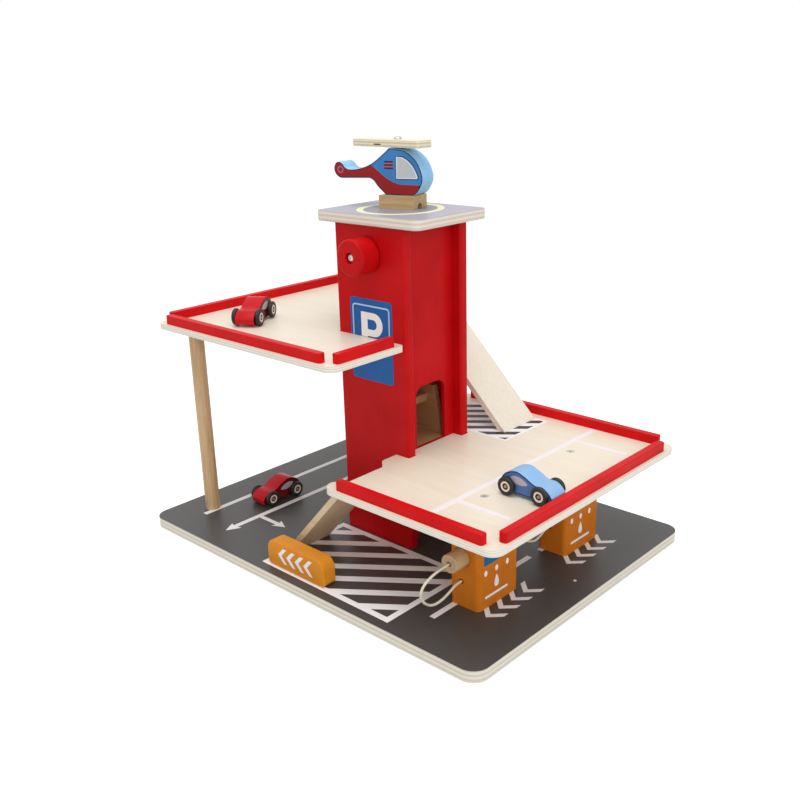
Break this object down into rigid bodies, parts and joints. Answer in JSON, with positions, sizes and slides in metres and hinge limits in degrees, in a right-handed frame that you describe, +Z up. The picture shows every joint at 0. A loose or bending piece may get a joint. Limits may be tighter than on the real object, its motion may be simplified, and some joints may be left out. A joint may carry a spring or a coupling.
{
  "type": "toy parking garage",
  "caption": "Wooden toy parking garage with two decks, ramps, a hand-wound lift in a tower, a helipad with helicopter, fuel pumps and small rolling cars.",
  "frame": {"origin": "middle of the base board's underside, on the surface that it stands on", "axes": "+X towards the lower deck and its pumps, -Y towards the side with the knob and the sign, +Z up"},
  "size_m": [0.46, 0.342, 0.4128],
  "materials": {
    "base_grey": "plywood printed dark grey with white road marks",
    "red_paint": "red semi-gloss lacquer on wood",
    "deck_ply": "pale birch plywood, clear matt lacquer",
    "ramp_wood": "natural beech, clear matt lacquer",
    "helipad_grey": "plywood printed grey with a yellow ring",
    "orange_paint": "orange semi-gloss lacquer on wood",
    "natural_wood": "natural beech or pine, clear matt lacquer",
    "hose_cord": "cream round cord",
    "lift_string": "thin twisted cord",
    "zinc_screw": "zinc-plated steel",
    "helicopter_paint": "blue, light blue and red lacquer",
    "blue_car_paint": "blue lacquer on wood",
    "red_car_paint": "red lacquer on wood",
    "wheel_hub": "pale turned wood",
    "tyre_rubber": "black rubber ring"
  },
  "bodies": {
    "root": {"base_board": "base_grey", "helipad_board": "helipad_grey", "lower_deck": "deck_ply", "upper_deck": "deck_ply", "deck_post_front": "natural_wood", "deck_post_rear": "natural_wood", "lower_ramp": "ramp_wood", "upper_ramp": "ramp_wood", "barrier_block": "orange_paint", "fuel_pump_front": "orange_paint", "fuel_pump_rear": "orange_paint", "hose_front": "hose_cord", "hose_rear": "hose_cord", "lift_cord": "lift_string", "base_screws": "zinc_screw", "lower_deck_screws": "zinc_screw", "upper_deck_screws": "zinc_screw", "tower_front_panel": "red_paint", "tower_rear_panel": "red_paint", "tower_right_door_panel": "red_paint", "tower_left_door_panel": "red_paint", "lower_front_rail": "red_paint", "lower_end_rail": "red_paint", "lower_rear_rail": "red_paint", "lower_inner_rail": "red_paint", "upper_front_rail": "red_paint", "upper_end_rail": "red_paint", "upper_rear_rail": "red_paint", "upper_inner_rail": "red_paint"},
    "lift_cabin": {"lift_floor": "natural_wood", "lift_side_front": "natural_wood", "lift_side_rear": "natural_wood", "lift_cross_bar": "natural_wood"},
    "winder": {"winding_axle": "natural_wood", "crank_knob": "red_paint", "knob_screw": "zinc_screw"},
    "helicopter": {"helicopter_body": "helicopter_paint", "helicopter_skid": "natural_wood", "rotor_screw": "zinc_screw"},
    "rotor": {"rotor": "deck_ply"},
    "front_nozzle": {"nozzle_front": "natural_wood"},
    "rear_nozzle": {"nozzle_rear": "natural_wood"},
    "blue_car": {"blue_car_body": "blue_car_paint"},
    "blue_car_front_axle": {"blue_car_front_wheels": "wheel_hub", "blue_car_front_tyres": "tyre_rubber"},
    "blue_car_rear_axle": {"blue_car_rear_wheels": "wheel_hub", "blue_car_rear_tyres": "tyre_rubber"},
    "yard_car": {"yard_car_body": "red_car_paint"},
    "yard_car_front_axle": {"yard_car_front_wheels": "wheel_hub", "yard_car_front_tyres": "tyre_rubber"},
    "yard_car_rear_axle": {"yard_car_rear_wheels": "wheel_hub", "yard_car_rear_tyres": "tyre_rubber"},
    "upper_car": {"upper_car_body": "red_car_paint"},
    "upper_car_front_axle": {"upper_car_front_wheels": "wheel_hub", "upper_car_front_tyres": "tyre_rubber"},
    "upper_car_rear_axle": {"upper_car_rear_wheels": "wheel_hub", "upper_car_rear_tyres": "tyre_rubber"}
  },
  "joints": [
    {"name": "lift_slide", "type": "slide", "parent": "root", "child": "lift_cabin", "axis": [0, 0, 1], "range_m": [-0.0947, 0.115], "deforming": ["lift_cord"]},
    {"name": "knob_turn", "type": "hinge", "parent": "root", "child": "winder", "pos_m": [-0.0015, 0, 0.3075], "axis": [0, -1, 0], "range_deg": [-1160, 1400]},
    {"name": "helicopter_lift", "type": "slide", "parent": "root", "child": "helicopter", "axis": [0, 0, 1], "range_m": [0, 0.15]},
    {"name": "rotor_spin", "type": "hinge", "parent": "helicopter", "child": "rotor", "pos_m": [-0.0074, 0.0067, 0.403], "axis": [0, 0, 1], "continuous": true},
    {"name": "front_nozzle_pull", "type": "slide", "parent": "root", "child": "front_nozzle", "axis": [0, -1, 0], "range_m": [0, 0.02], "deforming": ["hose_front"]},
    {"name": "rear_nozzle_pull", "type": "slide", "parent": "root", "child": "rear_nozzle", "axis": [0, -1, 0], "range_m": [0, 0.02], "deforming": ["hose_rear"]},
    {"name": "blue_car_roll", "type": "slide", "parent": "root", "child": "blue_car", "axis": [1, 0, 0], "range_m": [-0.11, 0.001]},
    {"name": "blue_car_front_axle_turn", "type": "hinge", "parent": "blue_car", "child": "blue_car_front_axle", "pos_m": [0.20625, -0.041, 0.12], "axis": [0, 1, 0], "range_deg": [-722, 12]},
    {"name": "blue_car_rear_axle_turn", "type": "hinge", "parent": "blue_car", "child": "blue_car_rear_axle", "pos_m": [0.17075, -0.041, 0.12], "axis": [0, 1, 0], "range_deg": [-722, 12]},
    {"name": "yard_car_roll", "type": "slide", "parent": "root", "child": "yard_car", "axis": [0, -1, 0], "range_m": [-0.16, 0.08]},
    {"name": "yard_car_front_axle_turn", "type": "hinge", "parent": "yard_car", "child": "yard_car_front_axle", "pos_m": [-0.1575, -0.06935, 0.02], "axis": [1, 0, 0], "range_deg": [-1047, 526]},
    {"name": "yard_car_rear_axle_turn", "type": "hinge", "parent": "yard_car", "child": "yard_car_rear_axle", "pos_m": [-0.1575, -0.03385, 0.02], "axis": [1, 0, 0], "range_deg": [-1047, 526]},
    {"name": "upper_car_roll", "type": "slide", "parent": "root", "child": "upper_car", "axis": [0.4955, -0.8686, 0], "range_m": [-0.08, 0.025]},
    {"name": "upper_car_front_axle_turn", "type": "hinge", "parent": "upper_car", "child": "upper_car_front_axle", "pos_m": [-0.13791, -0.08842, 0.235], "axis": [0.8686, 0.4955, 0], "range_deg": [-526, 168]},
    {"name": "upper_car_rear_axle_turn", "type": "hinge", "parent": "upper_car", "child": "upper_car_rear_axle", "pos_m": [-0.15549, -0.05758, 0.235], "axis": [0.8686, 0.4955, 0], "range_deg": [-526, 168]}
  ],
  "couplings": [
    {"joint": "knob_turn", "follows": "lift_slide", "rad_per_m": 210.53},
    {"joint": "blue_car_front_axle_turn", "follows": "blue_car_roll", "rad_per_m": 113.64},
    {"joint": "blue_car_rear_axle_turn", "follows": "blue_car_roll", "rad_per_m": 113.64},
    {"joint": "yard_car_front_axle_turn", "follows": "yard_car_roll", "rad_per_m": 113.64},
    {"joint": "yard_car_rear_axle_turn", "follows": "yard_car_roll", "rad_per_m": 113.64},
    {"joint": "upper_car_front_axle_turn", "follows": "upper_car_roll", "rad_per_m": 113.64},
    {"joint": "upper_car_rear_axle_turn", "follows": "upper_car_roll", "rad_per_m": 113.64}
  ]
}
